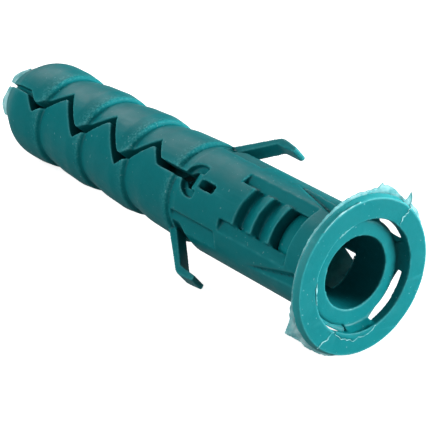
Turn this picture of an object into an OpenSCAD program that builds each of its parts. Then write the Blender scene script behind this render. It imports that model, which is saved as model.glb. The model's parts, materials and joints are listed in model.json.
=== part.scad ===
// Expansion plug, one moulded piece: a flange with arc gaps, a sleeve with serrated recesses
// and two bent whiskers, and four barbs split by a zigzag slit down to the tip.
// The plug is drawn upright, flange at the bottom, and then laid down on its flange's rim
// and its tip. Millimetres.

/* [Sleeve] */
// Outer radius of the sleeve and of the barbs' crests
sleeve_r = 3.9; // [3.5:0.05:4.6]
// Distance from the flange's front face to the crest nearest to it
sleeve_l = 17.4; // [17:0.1:22]
// Radius of the screw bore
bore_r = 2.68; // [2.2:0.02:2.9]
// Depth at which the bore starts to taper
bore_l = 12.6; // [12:0.1:16]
// Radius of the bore at the tip
pilot_r = 0.8; // [0.4:0.05:1.2]
// Rounding of the sleeve's end edge
sleeve_round = 0.3; // [0.1:0.05:0.5]

/* [Flange] */
// Thickness of the flange
flange_t = 0.54; // [0.4:0.02:1]
// How much thicker the flange is at its inner edge than at its rim
flange_rise = 0.22; // [0:0.02:0.4]
// Width of the collar over which the flange gets thicker
flange_collar = 0.5; // [0.2:0.05:0.7]
// Width of the flange from its inner edge to its outer edge
flange_w = 1.52; // [1:0.05:3]
// How much wider the flange is at its back edge than at its front edge
flange_draft = 0.2; // [0:0.05:0.4]
// Gap between the sleeve and the flange's inner edge, seen from the front
rim_gap = 0.28; // [0.1:0.02:0.5]
// How far the sleeve's end sits behind the flange's back
end_gap = 0.32; // [0.1:0.02:0.8]
// Angle that each bridge takes at the flange
bridge_angle = 22; // [12:1:40]
// Angle that each bridge takes at the sleeve
bridge_foot = 36; // [14:1:50]
// How far the bridges run along the sleeve
bridge_l = 1.1; // [0.6:0.1:2]

/* [Barbs] */
// Number of barbs
barb_n = 4; // [2:1:6]
// Distance from one crest to the next
barb_pitch = 5.63; // [5:0.05:7]
// Height of the step at the foot of each barb
barb_step = 0.45; // [0.2:0.05:0.7]
// Length of the step along the axis
step_l = 0.2; // [0.05:0.05:0.4]
// Rounding of the crests
crest_round = 0.25; // [0.05:0.05:0.4]
// Distance from each barb's widest place to its crest
crest_l = 1.2; // [0.6:0.1:1.6]
// How far the barb closes in from its widest place to its crest
crest_drop = 0.12; // [0:0.02:0.2]
// How far the barbs bulge between their foot and their widest place
barb_bulge = 0.1; // [0:0.02:0.16]
// Distance from the last crest to the end of the tip
tip_l = 5.7; // [4.5:0.1:8]
// Radius of the tip's end
tip_r = 2.7; // [2.2:0.05:3.2]
// Length over which the tip closes in
tip_taper = 2.3; // [1.6:0.1:3]
// Rounding of the tip where it starts to close in
tip_curve = 3.5; // [1:0.1:4]
// Rounding of the tip's end
tip_round = 0.5; // [0.2:0.05:1]
// Length of the shallow neck between the sleeve and its nearest barb
neck_l = 1.2; // [0.6:0.1:1.6]
// Depth of that neck
neck_depth = 0.3; // [0.1:0.05:0.5]

/* [Slit] */
// Width of the slit along its zigzag
slit_w = 0.42; // [0.2:0.02:0.6]
// Width to which the slit closes in towards the tip's end
tip_gap = 0.16; // [0.1:0.02:0.4]
// Width of the slit's straight stretch at the relief
lead_w = 0.56; // [0.3:0.02:0.8]
// How far the zigzag swings to one side
swing_up = 1.25; // [0.6:0.05:1.5]
// How far the zigzag swings to the other side at the barb nearest to the flange
swing_down = 1.25; // [0.9:0.05:1.5]
// How much less it swings that way at each barb nearer to the tip
swing_fall = 0.22; // [0:0.02:0.3]
// Extra width of the slit in the corners on that side
low_gap = 0.15; // [0:0.01:0.2]
// Distance from a crest on to the nearest low corner, towards the tip
low_shift = 0.8; // [0.3:0.1:1.4]
// Distance from a crest back to the nearest high corner, towards the flange
high_shift = 2.2; // [1.6:0.1:2.8]
// Rounding of the interlocking teeth
tooth_round = 0.4; // [0.1:0.05:0.6]

/* [Relief] */
// Radius of the round relief where the slit ends
relief_r = 1.3; // [1:0.05:1.6]
// Depth of the relief
relief_depth = 0.62; // [0.3:0.02:0.8]
// Distance from the nearest crest back to the relief's far edge
relief_shift = 1; // [0.8:0.1:1.6]
// Length of the relief along the axis
relief_l = 1.85; // [1.6:0.05:2.2]
// Width of the tongue that slopes into the relief
tongue_w = 1.3; // [0.8:0.05:1.6]
// Length of the tongue
tongue_l = 0.8; // [0.5:0.05:1.1]
// Length of the gap in front of the tongue
tongue_gap = 0.95; // [0.4:0.05:1.2]
// How far the tongue slopes down
tongue_drop = 0.4; // [0.1:0.05:0.6]
// Width of the small slot beside the relief
slot_w = 0.7; // [0.4:0.05:1]
// Length of that slot
slot_l = 1.55; // [1.1:0.05:2]
// Distance from the relief's straight edge to the slot
slot_gap = 0.2; // [0.1:0.05:0.4]

/* [Whiskers] */
// Width of a whisker
whisker_w = 1.4; // [1:0.1:2.2]
// Thickness of a whisker across its slope
whisker_t = 0.65; // [0.4:0.05:0.9]
// How far the bend stands out from the sleeve
whisker_out = 2.25; // [1.6:0.05:3]
// Slope of the whisker away from the axis
whisker_angle = 33; // [26:1:40]
// Length of the bent end along the axis
whisker_end = 1.8; // [0.8:0.1:2.2]
// How far the bent end comes back towards the axis
whisker_drop = 0.25; // [0:0.05:0.8]
// Rounding of the bend
bend_round = 1; // [0.5:0.1:1.4]
// Thickness of the whisker at its free end
whisker_end_t = 0.4; // [0.3:0.05:0.6]
// Distance from the nearest crest on to the whisker's foot, towards the tip
whisker_shift = 0.4; // [-0.4:0.1:0.8]
// Turn of the two whiskers about the axis
whisker_turn = 7.4; // [0:0.2:12]
// How much further the second whisker is bent open about its foot
whisker_open = 4; // [0:0.5:6]

/* [Pockets] */
// Distance from the nearest crest back to the pockets' ends
pocket_shift = 0.4; // [0.2:0.1:0.8]
// Length of the pockets beside the whiskers
pocket_l = 5.35; // [4.5:0.05:6]
// Distance of the pockets' upright walls from the middle plane
pocket_x = 2.5; // [2.2:0.05:2.8]
// Depth of the pockets at that wall
pocket_depth = 0.68; // [0.4:0.02:0.8]
// Slope of the pockets' floors
pocket_angle = 29; // [20:1:40]
// Depth of the hollow under each whisker's foot
crotch_depth = 0.65; // [0.3:0.05:0.8]
// Length of that hollow
crotch_l = 0.8; // [0.5:0.1:1.6]

/* [Teeth] */
// Number of teeth in each serrated recess
tooth_n = 3; // [1:1:3]
// Distance from one tooth to the next
tooth_pitch = 1.95; // [1.5:0.05:2]
// Depth of the gaps between the teeth
tooth_depth = 0.88; // [0.5:0.02:0.9]
// Width of the teeth and of the window
tooth_w = 3; // [2:0.1:3.4]
// Lean of each tooth's upright face
tooth_lean = 0.12; // [0:0.02:0.3]
// Length of the plain collar between the flange's front and the window
collar_l = 3.9; // [3.2:0.1:4.4]
// Length of the open window
window_l = 1.97; // [1.2:0.05:2.2]
// Width of the shelves beside the teeth, both together with the teeth
shelf_w = 4.68; // [4.2:0.05:5]
// Depth of the shelves where they meet the teeth
shelf_depth = 0.55; // [0.4:0.05:0.7]
// Length by which the shelves pass the last tooth
shelf_end = 1.5; // [0.8:0.1:1.8]

/* [Grooves] */
// Length of the tapered grooves behind the flange
groove_l = 5.8; // [4:0.1:6.4]
// Distance from the flange's front to the wide end of the grooves
groove_start = 2.7; // [2.2:0.1:3.2]
// Distance of the wide end's wall from the middle plane
groove_near = 2.33; // [2.2:0.05:2.5]
// Distance of the narrow end's wall from the middle plane
groove_far = 3.4; // [3.1:0.05:3.6]
// Height of the groove's floor over the middle plane at its narrow end
groove_floor = 1.95; // [1.8:0.05:2.2]
// Rise of the floor over the groove's length
groove_rise = 0.35; // [0:0.05:0.5]

/* [Lying] */
// Turn about its axis at which the plug comes to rest
lie_turn = 46.9; // [44:0.1:50]
// Depth of the worn spot it lies on, at the rim and at the tip
rest_flat = 0.1; // [0.06:0.01:0.14]
// How much the worn spots are hollow between their two edges
rest_hollow = 0.03; // [0.01:0.01:0.05]

/* [Hidden] */
plug_colour = [0.10, 0.45, 0.45];
round_fn = 96;
arc_steps = 5;
far = 20;
skin = 0.01;

flange_in = sleeve_r + rim_gap;
flange_r = flange_in + flange_w;
flange_back_r = flange_r + flange_draft;
sleeve_z = flange_t + end_gap;
crest_1 = sleeve_l + (barb_n - 1) * barb_pitch;
plug_l = crest_1 + tip_l;
root_r = sleeve_r - barb_step;

window_end = collar_l + window_l;
last_tooth = window_end + (tooth_n - 1) * tooth_pitch;
shelf_l = last_tooth + shelf_end - collar_l;
shelf_y = sqrt(pow(sleeve_r, 2) - pow(tooth_w / 2, 2)) - shelf_depth;

relief_far = sleeve_l - relief_shift;
relief_near = relief_far - relief_l;
slot_z = relief_near - slot_gap - slot_l;

pocket_end = sleeve_l - pocket_shift;
pocket_y = sqrt(pow(sleeve_r, 2) - pow(pocket_x, 2)) - pocket_depth;
crotch_x = sleeve_r - crotch_depth;

foot_z = sleeve_l + whisker_shift;
foot_x = sleeve_r - neck_depth;
bend_x = sleeve_r + whisker_out;
bend_z = foot_z - (bend_x - foot_x) / tan(whisker_angle);
free_z = bend_z - whisker_end;
free_x = bend_x - whisker_drop;

// How the plug lies: it leans from the flange's rim to the rounding of the tip
tip_turn = atan2(sleeve_r - tip_r, tip_taper);
tip_z = plug_l - tip_taper - tip_curve * tan(tip_turn / 2);
rim_rise = flange_back_r - sleeve_r + tip_curve;
rim_run = tip_z - flange_t;
lean = acos(tip_curve / norm([rim_rise, rim_run])) - atan2(rim_run, rim_rise);
axis_h = flange_t * sin(lean) + flange_back_r * cos(lean) - rest_flat;
rest_y = sqrt(pow(flange_back_r, 2) - pow(flange_back_r - rest_flat / cos(lean), 2));
rest_r = (pow(rest_y, 2) + pow(rest_hollow, 2)) / (2 * rest_hollow);
middle_x = plug_l * cos(lean) / 2;

function unit(v) = v / norm(v);

// Points of an arc that rounds the corner b between a and c by radius r
function corner(a, b, c, r) =
    let (
        u = unit(a - b),
        w = unit(c - b),
        half = acos(max(-1, min(1, u * w))) / 2,
        middle = b + unit(u + w) * r / sin(half),
        first = b + u * r / tan(half) - middle,
        start = atan2(first[1], first[0]),
        turn = (cross(u, w) < 0 ? 1 : -1) * (180 - 2 * half)
    )
    [for (i = [0 : arc_steps]) let (t = start + turn * i / arc_steps) middle + r * [cos(t), sin(t)]];

// Closed outline whose corner i is rounded by radii[i], or sharp where that is 0
function rounded(points, radii) =
    let (n = len(points))
    [for (i = [0 : n - 1])
        for (p = radii[i] > 0
            ? corner(points[(i + n - 1) % n], points[i], points[(i + 1) % n], radii[i])
            : [points[i]]) p];

// Normal of the stretch from a to b, turned to its left
function left(a, b) = let (d = unit(b - a)) [-d[1], d[0]];

// Point i of a path moved sideways by d, with its corners kept sharp
function shifted(path, i, d) =
    let (
        n = len(path),
        m = left(path[max(i - 1, 0)], path[max(i, 1)]),
        k = left(path[min(i, n - 2)], path[min(i + 1, n - 1)])
    )
    path[i] + d * (m + k) / (1 + m * k);

// Outline of one barb, from the bulge before its foot over its crest to its widest place
function barb(z) = [
    [(root_r + sleeve_r) / 2 + barb_bulge, z - (barb_pitch + step_l - crest_l) / 2],
    [root_r, z - step_l], [sleeve_r - crest_drop, z], [sleeve_r, z + crest_l]];

module outer_form() {
    barbs = [for (i = [1 : barb_n - 1]) for (p = barb(sleeve_l + i * barb_pitch)) p];
    barbs_round = [for (i = [1 : barb_n - 1]) for (r = [barb_pitch, step_l / 2, crest_round, crest_l]) r];
    points = concat(
        [[0, sleeve_z], [sleeve_r, sleeve_z], [sleeve_r, sleeve_l - neck_l],
            [sleeve_r - neck_depth, sleeve_l - step_l], [sleeve_r, sleeve_l]],
        barbs,
        [[sleeve_r, plug_l - tip_taper], [tip_r, plug_l], [0, plug_l]]
    );
    radii = concat([0, sleeve_round, 0, 0, min(crest_round, neck_depth)], barbs_round,
        [tip_curve, tip_round, 0]);
    rotate_extrude($fn = round_fn) polygon(rounded(points, radii));
}

module flange() {
    rotate_extrude($fn = round_fn)
        polygon([[flange_in, 0], [flange_r, 0], [flange_back_r, flange_t],
            [flange_in + flange_collar, flange_t], [flange_in, flange_t + flange_rise]]);
}

// The four webs that carry the flange, with hollow fronts
module bridges() {
    inner = (bore_r + sleeve_r) / 2;
    outer = flange_in + flange_w / 3;
    foot_in = (sleeve_r - sleeve_round) * cos(bridge_foot / 2);
    foot_out = (sleeve_r - sleeve_round) * sin(bridge_foot / 2);
    flange_side = outer + flange_w / 3;
    flange_out = flange_side * tan(bridge_angle / 2);
    for (a = [45 : 90 : 315])
        rotate(a)
            intersection() {
                rotate(-bridge_foot)
                    rotate_extrude(angle = 2 * bridge_foot, $fn = round_fn)
                        polygon([[inner, sleeve_z], [sleeve_r, sleeve_z],
                            [flange_in - skin, flange_t / 2], [outer, flange_t / 2],
                            [outer, sleeve_z], [sleeve_r, sleeve_z + bridge_l],
                            [inner, sleeve_z + bridge_l]]);
                linear_extrude(height = far)
                    polygon([[0, 0], [foot_in, -foot_out], [flange_side, -flange_out],
                        [flange_side, flange_out], [foot_in, foot_out]]);
            }
}

module bore() {
    translate([0, 0, -1]) cylinder(h = bore_l + 1, r = bore_r, $fn = round_fn);
    translate([0, 0, bore_l - skin])
        cylinder(h = crest_1 - bore_l, r1 = bore_r, r2 = pilot_r, $fn = round_fn);
    translate([0, 0, crest_1 - 1]) cylinder(h = tip_l + 2, r = pilot_r, $fn = round_fn);
}

// Extrudes an outline drawn in x and z through the plug from front to back
module through(depth = far) {
    translate([0, depth / 2, 0]) rotate([90, 0, 0]) linear_extrude(height = depth) children();
}

// Zigzag path from the tip back to the relief, as [x, z] points
function slit_path() = concat(
    [[0, plug_l + 1], [0, crest_1 + low_shift + swing_down - 0.1]],
    [for (i = [barb_n - 1 : -1 : 1])
        for (p = [[(i - 1) * swing_fall - swing_down, sleeve_l + i * barb_pitch + low_shift],
            [swing_up, sleeve_l + i * barb_pitch - high_shift]]) p],
    [[0, sleeve_l + barb_pitch - high_shift - swing_up - 0.1], [0, relief_far - relief_r / 2]]
);

module slit() {
    path = slit_path();
    n = len(path);
    // The teeth are rounded where the path turns round them, so each edge has every other corner round
    left_edge = [for (i = [0 : n - 1]) shifted(path, i, (i == 0 ? tip_gap : slit_w) / 2)];
    right_edge = [for (i = [n - 1 : -1 : 0])
        shifted(path, i, -(i == 0 ? tip_gap : slit_w) / 2
            - (i > 1 && i % 2 == 0 && i < n - 2 ? low_gap : 0))];
    left_round = [for (i = [0 : n - 1]) i > 1 && i < n - 2 && i % 2 == 0 ? tooth_round : 0];
    right_round = [for (i = [n - 1 : -1 : 0]) i > 1 && i < n - 2 && i % 2 == 1 ? tooth_round : 0];
    through() polygon(rounded(concat(left_edge, right_edge), concat(left_round, right_round)));
    through() translate([-lead_w / 2, relief_far - relief_r / 2])
        square([lead_w, path[n - 2][1] - relief_far + relief_r / 2]);
}

// Round relief with a straight edge, a tongue that slopes into it and a gap round the tongue
module relief() {
    middle = relief_far - relief_r;
    for (side = [0, 180])
        rotate(side) {
            difference() {
                translate([0, -sleeve_r + relief_depth, middle])
                    rotate([90, 0, 0]) cylinder(h = far, r = relief_r, $fn = round_fn);
                translate([-far / 2, -far, relief_near - far]) cube(far);
                tongue();
            }
            translate([0, 0, relief_near + tongue_l])
                rotate([90, 0, 0]) linear_extrude(height = far)
                    polygon([[-tongue_w / 2, 0], [tongue_w / 2, 0], [tongue_w / 2, tongue_gap / 2],
                        [lead_w / 2, tongue_gap], [-lead_w / 2, tongue_gap],
                        [-tongue_w / 2, tongue_gap / 2]]);
        }
}

module tongue() {
    translate([-tongue_w / 2, 0, 0]) rotate([90, 0, 90])
        linear_extrude(height = tongue_w)
            polygon([[0, relief_near - 1], [-sleeve_r - 1, relief_near - 1], [-sleeve_r, relief_near],
                [-sleeve_r + tongue_drop, relief_near + tongue_l], [0, relief_near + tongue_l]]);
}

// Small slot with a round end, and a ramp at the end next to the relief
module slot() {
    ramp_depth = 0.6;
    through() translate([-slot_w / 2, slot_z]) polygon(rounded(
        [[0, 0], [slot_w, 0], [slot_w, slot_l], [0, slot_l]],
        [slot_w / 3, slot_w / 3, slot_w / 6, slot_w / 6]));
    for (side = [0, 180])
        rotate(side)
            translate([-slot_w / 2, 0, 0]) rotate([90, 0, 90]) linear_extrude(height = slot_w)
                polygon([[-sleeve_r - 1, slot_z + slot_l - skin], [-sleeve_r + ramp_depth, slot_z + slot_l - skin],
                    [-sleeve_r, slot_z + slot_l + slot_gap * 0.75], [-sleeve_r - 1, slot_z + slot_l + slot_gap]]);
}

// Side view of one whisker: outer line, bend, free end and inner line
module whisker() {
    inset = whisker_t / sin(whisker_angle);
    root = 0.6;
    end_round = 0.15;
    inner_bend = bend_z - whisker_t * tan(whisker_angle / 2) + whisker_t / 2;
    points = [
        [foot_x - root, foot_z + root / tan(whisker_angle)],
        [bend_x, bend_z],
        [free_x, free_z],
        [free_x - whisker_end_t, free_z + end_round],
        [bend_x - whisker_t, inner_bend],
        [foot_x - root, foot_z + root / tan(whisker_angle) - inset],
    ];
    intersection() {
        through(whisker_w) polygon(rounded(points,
            [0, bend_round, end_round, end_round / 2, bend_round / 2, 0]));
        translate([bore_r, -far, 0]) cube([far, 2 * far, plug_l]);
    }
}

// Hollow beside a whisker
module pocket() {
    run = 3;
    floor_y = pocket_y - run * tan(pocket_angle);
    translate([0, 0, pocket_end - pocket_l]) linear_extrude(height = pocket_l)
        polygon([[pocket_x, pocket_y], [pocket_x + run, floor_y], [far, floor_y], [far, far],
            [pocket_x, far]]);
}

// Hollows beside and under one whisker, turned with it
module pockets() {
    slope = 1.2;
    crotch_start = pocket_end - step_l / 2;
    crotch_end = crotch_start - crotch_l;
    rotate(-whisker_turn) pocket();
    mirror([0, 1, 0]) rotate(-whisker_turn) pocket();
    through() polygon([[crotch_x, crotch_start], [crotch_x, crotch_end],
        [sleeve_r + skin, crotch_end - slope], [far, crotch_end - slope], [far, crotch_start]]);
}

// Revolved gaps between the teeth, cut only over the teeth's width
module tooth_gaps() {
    floor_r = sleeve_r - tooth_depth;
    intersection() {
        union() {
            for (i = [1 : tooth_n - 1])
                let (z = window_end + i * tooth_pitch)
                    rotate_extrude($fn = round_fn)
                        polygon([[sleeve_r, z - tooth_pitch], [sleeve_r + 1, z - tooth_pitch],
                            [sleeve_r + 1, z], [sleeve_r, z], [floor_r, z - tooth_lean]]);
        }
        translate([-tooth_w / 2, -far / 2, 0]) cube([tooth_w, far, plug_l]);
    }
    translate([-tooth_w / 2, -far / 2, collar_l]) cube([tooth_w, far, window_l]);
}

module shelves() {
    side_w = (shelf_w - tooth_w) / 2;
    for (x = [-1, 1], y = [-1, 1])
        translate([x * (tooth_w + side_w) / 2, y * (shelf_y + far / 2), collar_l + shelf_l / 2])
            cube([side_w + skin, far, shelf_l], center = true);
}

// Tapered grooves that run from behind the flange up the sides
module grooves() {
    tilt = atan2(groove_rise, groove_l);
    for (x = [0, 1], y = [0, 1])
        mirror([x, 0, 0]) mirror([0, y, 0])
            translate([0, groove_floor, groove_start + groove_l]) rotate([90 - tilt, 0, 180])
                mirror([1, 0, 0])
                linear_extrude(height = far)
                    polygon([[groove_far, 0], [far, 0], [far, -groove_l], [groove_near, -groove_l]]);
}

module plug_body() {
    color(plug_colour)
    difference() {
        union() {
            difference() {
                outer_form();
                for (side = [0, 180]) rotate(side + whisker_turn) pockets();
            }
            rotate(whisker_turn) whisker();
            rotate(180 + whisker_turn)
                translate([foot_x, 0, foot_z]) rotate([0, -whisker_open, 0])
                translate([-foot_x, 0, -foot_z]) whisker();
            flange();
            bridges();
        }
        bore();
        slit();
        relief();
        slot();
        tooth_gaps();
        shelves();
        grooves();
    }
}

// Lays the plug down and takes off what would stand below the floor, so that it rests on four
// small edges, two at the rim and two at the tip
module laid_down() {
    difference() {
        translate([middle_x, 0, axis_h])
            rotate([0, -lean, 0]) rotate([-lie_turn, 0, 0]) rotate([0, -90, 0]) children();
        translate([-2 * far, 0, rest_hollow - rest_r])
            rotate([0, 90, 0]) cylinder(h = 4 * far, r = rest_r, $fn = 4 * round_fn);
    }
}

laid_down() plug_body();
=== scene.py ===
"""Looks of the expansion plug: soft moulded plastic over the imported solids, with its mould flash.
Sizes and places on the plug are in millimetres and degrees, and the camera and lamps in metres."""

import json
import math

import bmesh
import bpy
import numpy as np
from mathutils import Euler, Matrix, Vector, noise


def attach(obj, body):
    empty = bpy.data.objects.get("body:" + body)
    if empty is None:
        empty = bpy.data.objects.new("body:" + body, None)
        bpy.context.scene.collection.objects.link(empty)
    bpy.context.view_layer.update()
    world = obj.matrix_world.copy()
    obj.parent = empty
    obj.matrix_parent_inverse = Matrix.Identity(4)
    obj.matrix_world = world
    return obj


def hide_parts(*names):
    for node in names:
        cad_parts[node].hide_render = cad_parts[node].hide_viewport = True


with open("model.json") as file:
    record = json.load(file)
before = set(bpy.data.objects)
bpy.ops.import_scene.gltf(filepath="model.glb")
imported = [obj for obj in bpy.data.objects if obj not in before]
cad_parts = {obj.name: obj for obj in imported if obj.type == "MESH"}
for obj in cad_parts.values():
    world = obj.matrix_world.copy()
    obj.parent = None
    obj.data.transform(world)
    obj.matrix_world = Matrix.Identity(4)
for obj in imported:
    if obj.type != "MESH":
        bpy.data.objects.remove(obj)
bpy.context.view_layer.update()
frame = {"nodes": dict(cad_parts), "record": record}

MM = 0.001

# Plug sizes
SLEEVE_R = 3.9
BORE_R = 2.68
CREST_PITCH = 5.63
FIRST_CREST = 17.4
BARBS = 4
PLUG_L = 40.0
TIP_R = 2.7
FLANGE_IN = 4.18
FLANGE_R = 5.7
FLANGE_BACK_R = 5.9
FLANGE_T = 0.54
WINDOW_START = 3.9
WINDOW_END = 5.87

# Mesh of the moulded body
VOXEL = 0.085
MELT_STEPS = 2
BODY_TRIANGLES = 190000
WELD_GAP = 0.001

# Where the flange's face ends, where the painted shade in creases begins, and where the painted glow of the
# thin rim fades in
FACE_DEPTH = 0.9
CREASE_SHADE_FROM = 1.2
RIM_FADE_START = 0.12
RIM_FADE = 0.1

# Painted shade under the skin: where it starts, how far on it is full, the skin's drop on the barbs,
# the painted shade on the bore's wall and how far out that wall counts, and the unshaded end of the tip
SHADE_START = 0.33
SHADE_RANGE = 0.67
BARB_DROP = 0.45
BORE_SHADE = 0.45
BORE_MARGIN = 0.06
TIP_MARGIN = 0.6

# Paler band by each crest, partly wear and partly painted highlight: its shift and width, where it is
# strongest and how far that reaches round the plug, the least of it elsewhere, and how far under the skin it
# still counts
CREST_SHIFT = 0.15
CREST_WIDTH = 0.5
CREST_AZIMUTH = 12
CREST_SPREAD = 38
CREST_LEAST = 0.3
CREST_DROP = 0.3

# Thickness of all flash, and the steps that each sheet takes along its length
FLASH_T = 0.05
FIN_STEPS = 150
HORN_STEPS = 12
LIP_STEPS = 60
LINE_STEPS = 40
TIP_FIN_STEPS = 16
WEB_STEPS = 60
SKIN_STEPS = 24
SKIN_ACROSS = 6

# Fins round the rim: how far in and forward they start, and how far they may dip
FIN_ROOT = 0.1
FIN_ROOT_DEPTH = 0.04
FIN_DIP = 0.04

# Horn: azimuth of its root, how that leans and curls, half angle, root and reach
HORN_AZIMUTH = 87.5
HORN_LEAN = 2.5
HORN_CURL = 5
HORN_HALF = 4.2
HORN_ROOT_R = 5.62
HORN_ROOT_DEPTH = 0.12
HORN_REACH = 0.95

# Lip: where it starts, how far round it runs, and its usual and least reach
LIP_AZIMUTH = -97
LIP_TURN = 52
LIP_REACH = 0.42
LIP_LEAST = 0.02

# Pale lines: half width, and how far they stand out from the flange's front
LINE_HALF = 0.045
LINE_RAISE = 0.004

# Webs: half angle, reach where closed, and dip under the sleeve's skin where open
WEB_HALF = 48
WEB_REACH = 0.44
WEB_DIP = 0.12

# Window skins: half angle, lap past the window, radius, missing corner and stretched edge
SKIN_HALF = 34
SKIN_LAP = 0.1
SKIN_R = 2.78
SKIN_CUT = 1.6
SKIN_CUT_SLOPE = 7
SKIN_EDGE_R = SKIN_R - 0.06
SKIN_EDGE_AZIMUTHS = range(152, 214, 2)

# Fins round the rim, as (azimuth, radius, depth) from end to end
UPPER_FIN = (
    (-40, 5.86, 0.55), (-19, 5.93, 0.55), (-5, 5.96, 0.55), (16, 6.0, 0.55), (30, 6.1, 0.55),
    (43, 6.12, 0.55), (55, 6.1, 0.55), (61, 6.2, 0.55), (63.5, 6.6, 0.5), (65.5, 6.42, 0.5),
    (69, 6.44, 0.5), (73, 6.36, 0.5), (78, 6.2, 0.5), (86, 6.0, 0.5), (96, 6.08, 0.5),
    (104, 6.14, 0.5), (112, 6.05, 0.55), (124, 5.86, 0.55))
LOWER_FIN = (
    (-118, 5.86, 0.55), (-106, 6.0, 0.55), (-95, 6.02, 0.6), (-86, 6.12, 0.7), (-80, 6.1, 0.8),
    (-72, 6.34, 0.9), (-67, 6.66, 1.0), (-63, 6.3, 0.9), (-58, 6.14, 0.7), (-50, 6.02, 0.6),
    (-40, 5.86, 0.55))

# Pale lines on the flange's front: two seams, and painted highlights along its outer and inner edges, as
# name, first azimuth, turn, first and last radius, seed
PALE_LINES = (
    ("seam_low", -89, -6, 5.8, 4.2, 8.0),
    ("seam_high", 90.5, 1.5, 5.9, 4.35, 3.0),
    # Painted highlights along the flange's outer and inner edges
    ("scratch_rim", 7, 35, 5.74, 5.74, 11.0),
    ("inner_edge_highlight", 14, 18, 4.24, 4.26, 14.0),
    ("left_inner_edge_highlight", -32, -22, 4.22, 4.22, 17.0))

# Webs in the arc gaps, as middle azimuth, half angle that stays open, least share closed
ARC_WEBS = ((0, 30, 0), (94, 24, 0), (180, 40, 0), (268, 26, 0.5))

# Fins at the tip, as name, first and last azimuth, reach
TIP_FINS = (("fin_a", 3, 44, 0.4), ("fin_b", -56, -4, 0.46))

# Web across the slit at the tip, as distance from the tip's end and radius, and its azimuths
TIP_WEB = ((0.1, 2.2), (0.4, 2.5), (1, 2.75), (2, 2.95), (5, 3))
TIP_WEB_AZIMUTHS = (-9, -4, 0, 4, 9)

# Camera, in metres and degrees
CAMERA_PLACE = (0.11682, -0.08635, 0.085596)
CAMERA_TURN = (60.008, 1.179, 52.001)
CAMERA_LENS = 188.53
SENSOR = 36

# Lamps, as name, place, target, size and power
LAMPS = (
    ("key", (0.24, 0.22, 0.07), (0.01, 0, 0.006), 0.12, 2.0),
    ("side", (-0.04, -0.26, 0.18), (0, 0, 0.005), 0.2, 0.58),
    ("back", (-0.24, 0.08, 0.16), (0, 0, 0.005), 0.16, 0.34))

# Colours
TEAL = (0.0, 0.185, 0.205)
# Colour of the painted shade in creases, recesses and the bore
TEAL_PAINTED_SHADE = (0.0, 0.06, 0.075)
TEAL_HAZE = (0.003, 0.215, 0.235)
# Pale teal of wear and painted highlight on edges and crests
WEAR_AND_SHEEN_TEAL = (0.1, 0.48, 0.5)
FLASH_PALE = (0.42, 0.78, 0.8)
FLASH_TEAL = (0.03, 0.38, 0.41)
LINE_PALE = (0.4, 0.78, 0.8)
SKIN_DARK = (0.06, 0.24, 0.24)
SKIN_LIGHT = (0.16, 0.45, 0.44)
FLOOR_PALE = (0.80, 0.80, 0.80)
FLOOR_BOUNCE = (0.16, 0.16, 0.16)
FLOOR_GLOW = 0.75
FLOOR_MIRRORED = 0.2
WORLD_LIGHT = 0.1

# Most that each tint takes of the plastic's colour
MOTTLE_SHARE = 0.5
CLOUD_SHARE = 0.6
PAINTED_SHADE_SHARE = 0.85
RIM_GLOW_SHARE = 0.95
EDGE_SHARE = 0.75
WEAR_AND_SHEEN_SHARE = 0.55
DUST_SHARE = 0.25

# Noise scales, where a larger one is finer
CLOUD_NOISE = 420
WAVE_NOISE = 700
STREAK_NOISE = 900
FLASH_CLOUD_NOISE = 1500
LINE_CLOUD_NOISE = 1800
MOTTLE_NOISE = 3600
FLASH_GRAIN_NOISE = 4000
DUST_NOISE = 4300
SPECK_NOISE = 5200
GRAIN_NOISE = 9000


def plug_axes():
    """Origin at the flange's front on the axis, and the directions out of the head, up and to the slit."""
    mounts = {m["name"]: m for m in frame["record"]["mounts"]}
    out = Vector(mounts["screw_bore"]["axis"]).normalized()
    bore = Vector(mounts["screw_bore"]["pos_m"])
    front = Vector(mounts["flange_front"]["pos_m"])
    origin = bore + out * (front - bore).dot(out)
    up = Vector(mounts["flange_back"]["pos_m"]) - origin
    up = (up - out * up.dot(out)).normalized()
    return origin, out, up, out.cross(up)


ORIGIN, OUT, UP, SLIT_SIDE = plug_axes()


def place(depth, radius, azimuth):
    """Point from its depth behind the flange's front, its radius and its azimuth from the slit."""
    a = math.radians(azimuth)
    across = SLIT_SIDE * math.cos(a) + UP * math.sin(a)
    return ORIGIN + (across * radius - OUT * depth) * MM


def new_material(name):
    material = bpy.data.materials.new(name)
    material.use_nodes = True
    nodes = material.node_tree.nodes
    return material, nodes, material.node_tree.links, nodes["Principled BSDF"]


def noise_node(nodes, links, coordinates, scale, detail=4.0, roughness=0.55):
    node = nodes.new("ShaderNodeTexNoise")
    node.inputs["Scale"].default_value = scale
    node.inputs["Detail"].default_value = detail
    node.inputs["Roughness"].default_value = roughness
    links.new(coordinates, node.inputs["Vector"])
    return node.outputs["Fac"]


def ramp_node(nodes, links, factor, low, high, low_value=0.0, high_value=1.0):
    """Turns a factor into a value that goes from low_value to high_value between low and high."""
    node = nodes.new("ShaderNodeMapRange")
    node.clamp = True
    node.inputs["From Min"].default_value = low
    node.inputs["From Max"].default_value = high
    node.inputs["To Min"].default_value = low_value
    node.inputs["To Max"].default_value = high_value
    links.new(factor, node.inputs["Value"])
    return node.outputs["Result"]


def math_node(nodes, links, operation, a, b):
    node = nodes.new("ShaderNodeMath")
    node.operation = operation
    for value, socket in zip((a, b), node.inputs):
        if isinstance(value, (int, float)):
            socket.default_value = value
        else:
            links.new(value, socket)
    return node.outputs["Value"]


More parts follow.
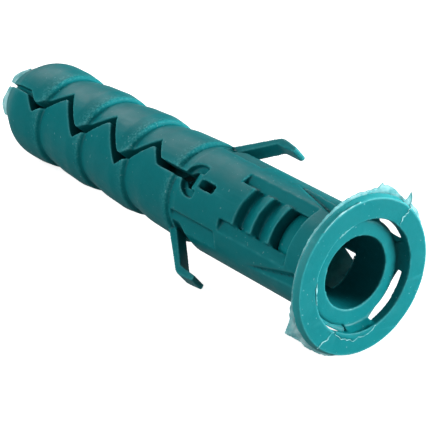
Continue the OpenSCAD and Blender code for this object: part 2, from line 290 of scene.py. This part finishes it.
def mix_node(nodes, links, factor, a, b):
    node = nodes.new("ShaderNodeMix")
    node.data_type = "RGBA"
    links.new(factor, node.inputs["Factor"])
    for value, socket in ((a, node.inputs["A"]), (b, node.inputs["B"])):
        if isinstance(value, tuple):
            socket.default_value = (*value, 1)
        else:
            links.new(value, socket)
    return node.outputs["Result"]


def mark_node(nodes, name):
    """Value that mark_body wrote at each point of the body."""
    node = nodes.new("ShaderNodeAttribute")
    node.attribute_name = name
    return node.outputs["Fac"]


def tinted(nodes, links, colour, tint, factor, share):
    """Colour taken towards a tint where the factor is high, by the share at most."""
    return mix_node(nodes, links, math_node(nodes, links, "MULTIPLY", factor, share), colour, tint)


def seen_node(nodes, links, ray):
    """1 where the camera looks, directly or through thin plastic, and 0 where only light goes."""
    looks, looks_through = ray.outputs["Is Camera Ray"], ray.outputs["Is Transmission Ray"]
    return math_node(nodes, links, "MAXIMUM", looks, looks_through)


def bump_node(nodes, links, height, strength, distance):
    """Dents the surface, by a distance in metres."""
    node = nodes.new("ShaderNodeBump")
    node.inputs["Strength"].default_value = strength
    node.inputs["Distance"].default_value = distance
    links.new(height, node.inputs["Height"])
    return node


def plastic_material():
    """Teal plastic with slight clouding, painted shade in hollows, a painted glow at the thin rim, pale edges
    and crest specks that are partly wear and partly painted highlight, dust and a fine moulded grain.
    """
    material, nodes, links, shader = new_material("teal_plastic")
    coordinates = nodes.new("ShaderNodeTexCoord").outputs["Object"]

    cloud = ramp_node(nodes, links, noise_node(nodes, links, coordinates, CLOUD_NOISE), 0.35, 0.7)
    mottle = noise_node(nodes, links, coordinates, MOTTLE_NOISE, detail=4.0, roughness=0.65)
    mottle = ramp_node(nodes, links, mottle, 0.35, 0.65)
    colour = tinted(nodes, links, TEAL, TEAL_HAZE, mottle, MOTTLE_SHARE)
    colour = tinted(nodes, links, colour, TEAL_HAZE, cloud, CLOUD_SHARE)
    # Painted shade: creases and recesses are painted a darker teal where shade falls
    painted_shade = math_node(nodes, links, "MAXIMUM", mark_node(nodes, "hollow"), mark_node(nodes, "painted_recess_shade"))
    colour = tinted(nodes, links, colour, TEAL_PAINTED_SHADE, painted_shade, PAINTED_SHADE_SHARE)
    # Painted light: the thin rim is painted a lighter teal where light comes through it
    colour = tinted(nodes, links, colour, FLASH_TEAL, mark_node(nodes, "rim"), RIM_GLOW_SHARE)

    # Crest specks and pale edges: partly wear, partly painted highlight where light catches them
    specks = noise_node(nodes, links, coordinates, SPECK_NOISE, detail=3.0, roughness=0.7)
    specks = ramp_node(nodes, links, specks, 0.46, 0.64)
    crest_sheen_and_wear = math_node(nodes, links, "MULTIPLY", mark_node(nodes, "crest"), specks)
    edge = math_node(nodes, links, "MULTIPLY", mark_node(nodes, "edge"), EDGE_SHARE)
    wear_and_sheen = ramp_node(nodes, links, math_node(nodes, links, "ADD", edge, crest_sheen_and_wear), 0.08, 1.0, 0, WEAR_AND_SHEEN_SHARE)
    colour = mix_node(nodes, links, wear_and_sheen, colour, WEAR_AND_SHEEN_TEAL)
    dust = noise_node(nodes, links, coordinates, DUST_NOISE, detail=1.0, roughness=0.4)
    dust = ramp_node(nodes, links, dust, 0.75, 0.775)
    colour = tinted(nodes, links, colour, FLASH_PALE, dust, DUST_SHARE)
    links.new(colour, shader.inputs["Base Color"])

    grain = noise_node(nodes, links, coordinates, GRAIN_NOISE, detail=3.0, roughness=0.6)
    waves = noise_node(nodes, links, coordinates, WAVE_NOISE, detail=3.0, roughness=0.5)
    links.new(ramp_node(nodes, links, waves, 0.3, 0.7, 0.38, 0.54), shader.inputs["Roughness"])
    fine = bump_node(nodes, links, grain, strength=0.16, distance=0.00003)
    soft = bump_node(nodes, links, waves, strength=0.25, distance=0.0001)
    links.new(fine.outputs["Normal"], soft.inputs["Normal"])
    links.new(soft.outputs["Normal"], shader.inputs["Normal"])

    shader.inputs["IOR"].default_value = 1.49
    shader.inputs["Specular IOR Level"].default_value = 0.14
    shader.inputs["Subsurface Weight"].default_value = 0.25
    shader.inputs["Subsurface Radius"].default_value = (0.05, 0.6, 0.6)
    shader.inputs["Subsurface Scale"].default_value = 0.0006
    return material


def flash_material():
    """The same plastic where it is thin enough to let light through, with paler and clearer clouds."""
    material, nodes, links, shader = new_material("thin_flash")
    coordinates = nodes.new("ShaderNodeTexCoord").outputs["Object"]
    cloud = ramp_node(nodes, links, noise_node(nodes, links, coordinates, FLASH_CLOUD_NOISE), 0.35, 0.7)
    links.new(mix_node(nodes, links, cloud, FLASH_TEAL, FLASH_PALE), shader.inputs["Base Color"])
    grain = noise_node(nodes, links, coordinates, FLASH_GRAIN_NOISE)
    links.new(ramp_node(nodes, links, grain, 0.3, 0.7, 0.3, 0.55), shader.inputs["Roughness"])
    links.new(ramp_node(nodes, links, cloud, 0, 1, 0.8, 0.45), shader.inputs["Alpha"])
    shader.inputs["Specular IOR Level"].default_value = 0.4
    glow = nodes.new("ShaderNodeBsdfTranslucent")
    glow.inputs["Color"].default_value = (*FLASH_PALE, 1)
    both = nodes.new("ShaderNodeMixShader")
    both.inputs["Fac"].default_value = 0.35
    links.new(shader.outputs["BSDF"], both.inputs[1])
    links.new(glow.outputs["BSDF"], both.inputs[2])
    links.new(both.outputs["Shader"], nodes["Material Output"].inputs["Surface"])
    return material


def skin_material():
    """Streaked grey-green skin left across an opening, which lets very little through."""
    material, nodes, links, shader = new_material("window_skin")
    coordinates = nodes.new("ShaderNodeTexCoord").outputs["Object"]
    streaks = noise_node(nodes, links, coordinates, STREAK_NOISE, detail=6.0, roughness=0.7)
    streaks = ramp_node(nodes, links, streaks, 0.3, 0.7)
    links.new(mix_node(nodes, links, streaks, SKIN_DARK, SKIN_LIGHT), shader.inputs["Base Color"])
    links.new(ramp_node(nodes, links, streaks, 0, 1, 0.97, 0.93), shader.inputs["Alpha"])
    links.new(ramp_node(nodes, links, streaks, 0, 1, 0.25, 0.45), shader.inputs["Roughness"])
    return material


def line_material():
    """Pale plastic of seams and stretched edges, and of painted highlights along the flange's edges, which
    stay opaque.
    """
    material, nodes, links, shader = new_material("pale_line")
    coordinates = nodes.new("ShaderNodeTexCoord").outputs["Object"]
    cloud = ramp_node(nodes, links, noise_node(nodes, links, coordinates, LINE_CLOUD_NOISE), 0.35, 0.65)
    links.new(mix_node(nodes, links, cloud, FLASH_TEAL, LINE_PALE), shader.inputs["Base Color"])
    links.new(ramp_node(nodes, links, cloud, 0, 1, 0.35, 0.55), shader.inputs["Roughness"])
    return material


def smoothed(values, edges, steps):
    """Values taken halfway to the mean of their neighbours, a number of times."""
    count = np.bincount(edges.ravel(), minlength=len(values)).clip(1)[:, None]
    for _ in range(steps):
        total = np.zeros_like(values)
        np.add.at(total, edges[:, 0], values[edges[:, 1]])
        np.add.at(total, edges[:, 1], values[edges[:, 0]])
        values = 0.5 * values + 0.5 * total / count
    return values


def plug_places(points):
    """Depth, radius and azimuth of points, in millimetres and degrees."""
    offset = (points - np.array(ORIGIN)) / MM
    up, side = offset @ np.array(UP), offset @ np.array(SLIT_SIDE)
    return -offset @ np.array(OUT), np.hypot(up, side), np.degrees(np.arctan2(up, side))


def recess_shade_paint(points):
    """Painted shade: how dark each point is painted for lying under the sleeve's skin, less so on the bore's
    wall.
    """
    depth, radius, _ = plug_places(points)
    skin = SLEEVE_R - BARB_DROP * (depth > FIRST_CREST + 1)
    inside = (depth > FACE_DEPTH) & (depth < PLUG_L - TIP_MARGIN)
    shade = np.clip((skin - radius - SHADE_START) / SHADE_RANGE, 0, 1) * inside
    return shade * np.where(radius < BORE_R + BORE_MARGIN, BORE_SHADE, 1)


def thin_rim(points):
    """Painted light: how near each point is to the flange's outer edge, painted lighter to stand in for light
    that comes through the thin plastic.
    """
    depth, radius, _ = plug_places(points)
    return np.clip((radius - FLANGE_R + RIM_FADE_START) / RIM_FADE, 0, 1) * (depth < FACE_DEPTH)


def crest_wear_and_sheen(points):
    """How much each point lies on the paler band of a crest, partly wear and partly painted highlight, which
    is strongest above the slit.
    """
    depth, radius, azimuth = plug_places(points)
    wear = np.zeros(len(points))
    for i in range(BARBS):
        crest = FIRST_CREST + i * CREST_PITCH
        wear = np.maximum(wear, np.exp(-(((depth - crest - CREST_SHIFT) / CREST_WIDTH) ** 2)))
    near_slit = np.exp(-(((azimuth - CREST_AZIMUTH) / CREST_SPREAD) ** 2))
    around = CREST_LEAST + (1 - CREST_LEAST) * near_slit
    return wear * around * (radius > SLEEVE_R - CREST_DROP)


def mark_body(mesh, sharp=5.0):
    """Writes five marks from 0 to 1 at each point for the plastic: the edge's wear and painted highlight, and
    the painted shade in creases, where 1 is a bend outwards or inwards of sharp per millimetre, then the
    crest's wear and painted highlight, the painted shade in recesses and the painted glow of the rim."""
    points = np.empty(len(mesh.vertices) * 3)
    mesh.vertices.foreach_get("co", points)
    points = points.reshape(-1, 3)
    normals = np.empty(len(mesh.vertices) * 3)
    mesh.vertices.foreach_get("normal", normals)
    normals = normals.reshape(-1, 3)
    edges = np.empty(len(mesh.edges) * 2, np.int32)
    mesh.edges.foreach_get("vertices", edges)
    edges = edges.reshape(-1, 2)
    step = points[edges[:, 1]] - points[edges[:, 0]]
    turn = normals[edges[:, 1]] - normals[edges[:, 0]]
    bend = (step * turn).sum(1) / (step * step).sum(1).clip(1e-12) * MM
    total = np.bincount(edges.ravel(), np.repeat(bend, 2), len(points))
    bend = total / np.bincount(edges.ravel(), minlength=len(points)).clip(1)
    bend = smoothed(bend[:, None], edges, 2)[:, 0]
    # Painted shade in creases starts a little behind the flange's front
    behind_flange = np.clip(plug_places(points)[0] - CREASE_SHADE_FROM, 0, 1)
    marks = {
        "edge": bend / sharp,
        "hollow": -bend / sharp * behind_flange,
        "crest": crest_wear_and_sheen(points),
        "painted_recess_shade": recess_shade_paint(points),
        "rim": thin_rim(points),
    }
    for name, values in marks.items():
        attribute = mesh.attributes.new(name, "FLOAT", "POINT")
        attribute.data.foreach_set("value", np.clip(values, 0, 1).astype(np.float32))


def bake(body):
    """Gives a body the mesh that its modifiers make, and drops them."""
    bpy.context.view_layer.update()
    shaped = body.evaluated_get(bpy.context.evaluated_depsgraph_get())
    mesh = bpy.data.meshes.new_from_object(shaped)
    body.modifiers.clear()
    body.data = mesh
    return mesh


def moulded_body():
    """The solid remeshed and slightly melted, so that its edges and corners are soft as moulded."""
    source = frame["nodes"]["plug_body"]
    mesh = source.data.copy()
    mesh.materials.clear()
    mesh.transform(Matrix.Scale(1 / MM, 4))
    body = bpy.data.objects.new("plug", mesh)
    bpy.context.scene.collection.objects.link(body)
    weld = body.modifiers.new("weld", "WELD")
    weld.merge_threshold = WELD_GAP
    remesh = body.modifiers.new("remesh", "REMESH")
    remesh.mode = "VOXEL"
    remesh.voxel_size = VOXEL
    melt = body.modifiers.new("melt", "SMOOTH")
    melt.factor = 0.5
    melt.iterations = MELT_STEPS
    mesh = bake(body)
    triangles = sum(len(p.vertices) - 2 for p in mesh.polygons)
    thin = body.modifiers.new("thin", "DECIMATE")
    thin.ratio = min(1.0, BODY_TRIANGLES / triangles)
    mesh = bake(body)
    mesh.transform(Matrix.Scale(MM, 4))
    for polygon in mesh.polygons:
        polygon.use_smooth = True
    mark_body(mesh)
    mesh.materials.append(plastic_material())
    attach(body, "root")
    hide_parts("plug_body")


def add_sheet(name, rows, material):
    """Thin sheet of flash through rows of (depth, radius, azimuth) places, riding on the plug."""
    mesh = bpy.data.meshes.new(name)
    shape = bmesh.new()
    grid = [[shape.verts.new(place(*spot)) for spot in row] for row in rows]
    for row, next_row in zip(grid, grid[1:]):
        for a, b, c, d in zip(row, row[1:], next_row[1:], next_row):
            shape.faces.new((a, b, c, d))
    bmesh.ops.recalc_face_normals(shape, faces=shape.faces)
    shape.to_mesh(mesh)
    shape.free()
    for polygon in mesh.polygons:
        polygon.use_smooth = True
    sheet = bpy.data.objects.new(name, mesh)
    bpy.context.scene.collection.objects.link(sheet)
    thick = sheet.modifiers.new("thick", "SOLIDIFY")
    thick.thickness = FLASH_T * MM
    thick.offset = 0
    mesh.materials.append(material)
    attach(sheet, "root")


def ragged(position, scale, height, seed):
    """Repeatable small unevenness along an edge."""
    return height * noise.noise(Vector((position * scale, seed, 0.5)))


def spread(points, steps):
    """Places between given (azimuth, radius, depth) points, evenly spaced in azimuth."""
    azimuths, radii, depths = zip(*points)
    first, last = azimuths[0], azimuths[-1]
    for i in range(steps + 1):
        azimuth = first + (last - first) * i / steps
        yield azimuth, np.interp(azimuth, azimuths, radii), np.interp(azimuth, azimuths, depths)


def rim_fins(flash):
    """Fins left round the rim's back edge, which rise to two ears."""
    for name, points, seed in (("fin_upper", UPPER_FIN, 1.0), ("fin_lower", LOWER_FIN, 7.0)):
        rows = []
        for azimuth, radius, depth in spread(points, FIN_STEPS):
            radius += ragged(azimuth, 0.35, 0.05, seed) + ragged(azimuth, 1.1, 0.03, seed + 3)
            radius = max(radius, FLANGE_BACK_R - FIN_DIP)
            rows.append([
                (FLANGE_T - FIN_ROOT_DEPTH, FLANGE_BACK_R - FIN_ROOT, azimuth),
                ((FLANGE_T + depth) / 2, (FLANGE_BACK_R + radius) / 2, azimuth),
                (depth, radius, azimuth)])
        add_sheet(name, rows, flash)


def horn(flash, line):
    """Spike of flash that runs on over the flange's face, and its pale edge."""
    rows = []
    for i in range(HORN_STEPS + 1):
        t = i / HORN_STEPS
        depth = HORN_ROOT_DEPTH * (1 - t)
        radius = HORN_ROOT_R + HORN_REACH * t
        middle = HORN_AZIMUTH + HORN_LEAN * t - HORN_CURL * t * t
        half = HORN_HALF * (1 - t) ** 0.8
        rows.append([(depth, radius, middle + half * k) for k in (-1, -0.5, 0, 0.5, 1)])
    add_sheet("horn", rows, flash)
    side = [row[-1] for row in rows]
    add_sheet("horn_edge", [[(depth - 0.03, radius, azimuth - 0.45), (depth - 0.02, radius, azimuth + 0.2)]
                            for depth, radius, azimuth in side], line)


def inner_lip(plastic, line):
    """Ragged lip that spills over the flange's inner edge, and its pale edge."""
    rows = []
    for i in range(LIP_STEPS + 1):
        t = i / LIP_STEPS
        azimuth = LIP_AZIMUTH - LIP_TURN * t
        reach = LIP_REACH * math.sin(math.pi * t) ** 0.5 + ragged(t, 9, 0.16, 5.0) + ragged(t, 27, 0.05, 6.0)
        reach = max(reach, LIP_LEAST)
        rows.append([
            (0.04, FLANGE_IN - 0.09, azimuth),
            (0.006, FLANGE_IN, azimuth),
            (0.004, FLANGE_IN + 0.5 * reach, azimuth),
            (0.01, FLANGE_IN + reach, azimuth)])
    add_sheet("lip", rows, plastic)
    side = [row[-1] for row in rows]
    add_sheet("lip_edge", [[(-0.004, radius - 0.035, azimuth), (0.002, radius + 0.01, azimuth)]
                           for _, radius, azimuth in side], line)


def pale_lines(line):
    """The mould's parting line across the flange's front, and painted highlights that run round it along the
    flange's outer and inner edges.
    """
    for name, start, turn, first, last, seed in PALE_LINES:
        runs_round = abs(first - last) < 0.1
        rows = []
        for i in range(LINE_STEPS + 1):
            t = i / LINE_STEPS
            taper = math.sin(math.pi * (0.06 + 0.88 * t)) ** 0.5
            half = LINE_HALF * taper * (1 + ragged(t, 9, 1.2, seed + 1))
            radius = first + (last - first) * t
            azimuth = start + turn * t
            if runs_round:
                radius += ragged(t, 7, 0.04, seed)
                rows.append([(-LINE_RAISE, radius + k * half, azimuth) for k in (-1, 0, 1)])
            else:
                azimuth += ragged(t, 6, 3.0, seed)
                half_turn = math.degrees(half / radius)
                rows.append([(-LINE_RAISE, radius, azimuth + k * half_turn) for k in (-1, 0, 1)])
        add_sheet(name, rows, line)


def arc_webs(web):
    """Webs that narrow the arc gaps to crescents by growing wider towards both ends of each gap."""
    for number, (middle, open_half, least) in enumerate(ARC_WEBS):
        rows = []
        for i in range(WEB_STEPS + 1):
            azimuth = middle - WEB_HALF + 2 * WEB_HALF * i / WEB_STEPS
            closed = min(1, least + (1 - least) * (abs(azimuth - middle) / open_half) ** 3)
            reach = WEB_REACH * closed - WEB_DIP * (1 - closed) + ragged(azimuth, 0.1, 0.02, 20.0 + number)
            rows.append([
                (1.4, SLEEVE_R - 0.2, azimuth),
                (1.15, SLEEVE_R - 0.15, azimuth),
                (1 - 0.5 * closed, SLEEVE_R + reach, azimuth)])
        add_sheet("web_%d" % number, rows, web)


def window_skins(web, skin, line):
    """Skins across the two windows, where the far one lacks a corner and has a stretched pale edge."""
    for number, middle in enumerate((0, 180)):
        rows = []
        for i in range(SKIN_STEPS + 1):
            t = i / SKIN_STEPS
            azimuth = middle - SKIN_HALF + 2 * SKIN_HALF * t
            cut = max(0.0, SKIN_CUT - SKIN_CUT_SLOPE * t) if number else 0.0
            start = WINDOW_START - SKIN_LAP + cut
            length = WINDOW_END - WINDOW_START + 2 * SKIN_LAP - cut
            rows.append([(start + length * k / SKIN_ACROSS, SKIN_R, azimuth) for k in range(SKIN_ACROSS + 1)])
        add_sheet("window_%d" % number, rows, skin if number else web)
    depths = (WINDOW_START + 0.02, WINDOW_START + 0.09)
    edge = [[(depth, SKIN_EDGE_R, azimuth) for depth in depths] for azimuth in SKIN_EDGE_AZIMUTHS]
    add_sheet("window_edge", edge, line)


def tip_web(web):
    """Web across the slit at the tip."""
    rows = [[(PLUG_L - back, radius, azimuth) for azimuth in TIP_WEB_AZIMUTHS] for back, radius in TIP_WEB]
    add_sheet("tip_web", rows, web)


def tip_fins(flash):
    """Pale skins that stand out at the tip's end, one on each half of the slit."""
    for name, first, last, reach in TIP_FINS:
        rows = []
        for i in range(TIP_FIN_STEPS + 1):
            t = i / TIP_FIN_STEPS
            azimuth = first + (last - first) * t
            rise = math.sin(math.pi * min(0.95, 0.12 + t)) ** 0.5
            out = reach * rise + ragged(t, 5, 0.1, 30.0 + first)
            rows.append([
                (PLUG_L - 0.5, TIP_R - 0.1, azimuth),
                (PLUG_L - 0.1, TIP_R - 0.06, azimuth),
                (PLUG_L + 0.5 * out, TIP_R, azimuth),
                (PLUG_L + out, TIP_R + 0.02, azimuth)])
        add_sheet(name, rows, flash)


def add_camera():
    camera = bpy.data.cameras.new("camera")
    camera.lens = CAMERA_LENS
    camera.sensor_width = SENSOR
    camera.clip_start = 0.001
    holder = bpy.data.objects.new("camera", camera)
    holder.location = CAMERA_PLACE
    holder.rotation_euler = Euler([math.radians(a) for a in CAMERA_TURN], "XYZ")
    bpy.context.scene.collection.objects.link(holder)
    bpy.context.scene.camera = holder


def add_lamp(name, place_m, target, size, power):
    lamp = bpy.data.lights.new(name, "AREA")
    lamp.size = size
    lamp.energy = power
    holder = bpy.data.objects.new(name, lamp)
    holder.location = place_m
    holder.rotation_euler = (Vector(target) - Vector(place_m)).to_track_quat("-Z", "Y").to_euler()
    bpy.context.scene.collection.objects.link(holder)


def add_floor():
    """White floor that the camera sees glowing, while the plug gets little light from it."""
    mesh = bpy.data.meshes.new("floor")
    floor = bpy.data.objects.new("floor", mesh)
    shape = bmesh.new()
    bmesh.ops.create_grid(shape, x_segments=1, y_segments=1, size=2)
    shape.to_mesh(mesh)
    shape.free()
    bpy.context.scene.collection.objects.link(floor)
    material, nodes, links, shader = new_material("pale_floor")
    ray = nodes.new("ShaderNodeLightPath")
    seen = seen_node(nodes, links, ray)
    mirrored = math_node(nodes, links, "MULTIPLY", ray.outputs["Is Glossy Ray"], FLOOR_MIRRORED)
    seen = math_node(nodes, links, "MAXIMUM", seen, mirrored)
    links.new(mix_node(nodes, links, seen, FLOOR_BOUNCE, FLOOR_PALE), shader.inputs["Base Color"])
    links.new(mix_node(nodes, links, seen, (0, 0, 0), (1, 1, 1)), shader.inputs["Emission Color"])
    shader.inputs["Emission Strength"].default_value = FLOOR_GLOW
    shader.inputs["Roughness"].default_value = 0.8
    mesh.materials.append(material)


def set_world():
    """White world that the camera sees in full, while it lights the plug only faintly."""
    world = bpy.data.worlds.new("studio")
    bpy.context.scene.world = world
    world.use_nodes = True
    nodes, links = world.node_tree.nodes, world.node_tree.links
    ray = nodes.new("ShaderNodeLightPath")
    seen = seen_node(nodes, links, ray)
    background = nodes["Background"]
    background.inputs["Color"].default_value = (1, 1, 1, 1)
    links.new(ramp_node(nodes, links, seen, 0, 1, WORLD_LIGHT, 1), background.inputs["Strength"])


moulded_body()
plastic = bpy.data.materials["teal_plastic"]
flash = flash_material()
pale = line_material()
rim_fins(flash)
horn(flash, pale)
inner_lip(plastic, pale)
pale_lines(pale)
arc_webs(plastic)
window_skins(plastic, skin_material(), pale)
tip_web(plastic)
tip_fins(flash)
add_camera()
for lamp in LAMPS:
    add_lamp(*lamp)
add_floor()
set_world()
bpy.context.scene.view_settings.view_transform = "Standard"
